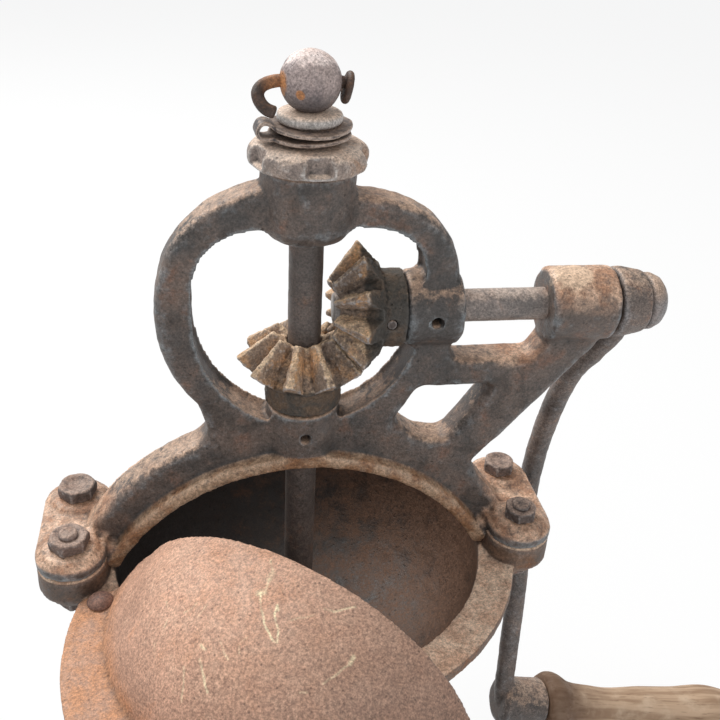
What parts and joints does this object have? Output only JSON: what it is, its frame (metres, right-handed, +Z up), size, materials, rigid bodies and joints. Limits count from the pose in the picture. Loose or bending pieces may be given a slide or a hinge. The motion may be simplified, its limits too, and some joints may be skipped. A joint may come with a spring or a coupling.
{
  "type": "hand mill",
  "caption": "Cast iron hand mill: round hopper with a half-dome swivel lid, arched yoke with bevel gears, side crank with a turned wooden grip, on a round flanged foot.",
  "frame": {"origin": "on the spindle's axis, on the face that the foot stands on", "axes": "+Z up along the spindle, +X towards the crank, -Y to the front, where the lid is"},
  "size_m": [0.3137, 0.2097, 0.3235],
  "materials": {
    "cast_iron": "rough sand casting with thin brown rust",
    "rusty_iron": "matt orange and brown rust",
    "worn_steel": "worn, darkened steel with light rust",
    "lid_iron": "bare brown iron with pale scratches",
    "wood": "worn turned wood, stained dark at its neck"
  },
  "bodies": {
    "frame": {"hopper": "cast_iron", "yoke": "cast_iron", "foot": "cast_iron", "outer_burr": "worn_steel", "guide_screw": "rusty_iron", "lid_rivet": "rusty_iron", "ear_bolt_rear_left": "rusty_iron", "ear_bolt_front_left": "rusty_iron", "ear_bolt_rear_right": "rusty_iron", "ear_bolt_front_right": "rusty_iron", "ear_nut_rear_left": "rusty_iron", "ear_nut_front_left": "rusty_iron", "ear_nut_rear_right": "rusty_iron", "ear_nut_front_right": "rusty_iron", "neck_bolt_1": "rusty_iron", "neck_bolt_2": "rusty_iron", "neck_bolt_3": "rusty_iron", "neck_nut_1": "rusty_iron", "neck_nut_2": "rusty_iron", "neck_nut_3": "rusty_iron"},
    "adjuster": {"adjuster_wheel": "rusty_iron"},
    "thrust": {"thrust_sleeve": "worn_steel", "spring_clip": "worn_steel"},
    "spindle": {"spindle": "worn_steel", "spindle_gear": "rusty_iron", "spindle_gear_pin": "rusty_iron", "inner_burr": "worn_steel", "burr_pin": "rusty_iron", "ball_knob": "worn_steel", "hook_wire": "rusty_iron"},
    "crank": {"crank_shaft": "worn_steel", "crank_gear": "rusty_iron", "crank_gear_pin": "rusty_iron", "crank_arm": "cast_iron", "crank_end_nut": "rusty_iron", "grip_rod": "worn_steel", "grip_washer": "rusty_iron"},
    "grip": {"grip": "wood"},
    "lid": {"lid": "lid_iron"}
  },
  "joints": [
    {"name": "crank_spin", "type": "hinge", "parent": "frame", "child": "crank", "pos_m": [0.09, 0, 0.2438], "axis": [1, 0, 0], "continuous": true},
    {"name": "grip_spin", "type": "hinge", "parent": "crank", "child": "grip", "pos_m": [0.0955, 0.0055, 0.0373], "axis": [0.9781, 0, -0.2079], "continuous": true},
    {"name": "adjuster_turn", "type": "hinge", "parent": "frame", "child": "adjuster", "pos_m": [0, 0, 0.2948], "axis": [0, 0, 1], "range_deg": [-360, 0]},
    {"name": "shaft_lift", "type": "slide", "parent": "frame", "child": "thrust", "axis": [0, 0, 1], "range_m": [-0.001, 0]},
    {"name": "shaft_spin", "type": "hinge", "parent": "thrust", "child": "spindle", "pos_m": [0, 0, 0.2], "axis": [0, 0, 1], "continuous": true},
    {"name": "lid_swing", "type": "hinge", "parent": "frame", "child": "lid", "pos_m": [-0.0684, -0.0288, 0.15], "axis": [0, 0, -1], "range_deg": [-39, 12]}
  ],
  "couplings": [
    {"joint": "shaft_spin", "follows": "crank_spin", "ratio": 1},
    {"joint": "adjuster_turn", "follows": "shaft_lift", "rad_per_m": 6283}
  ]
}
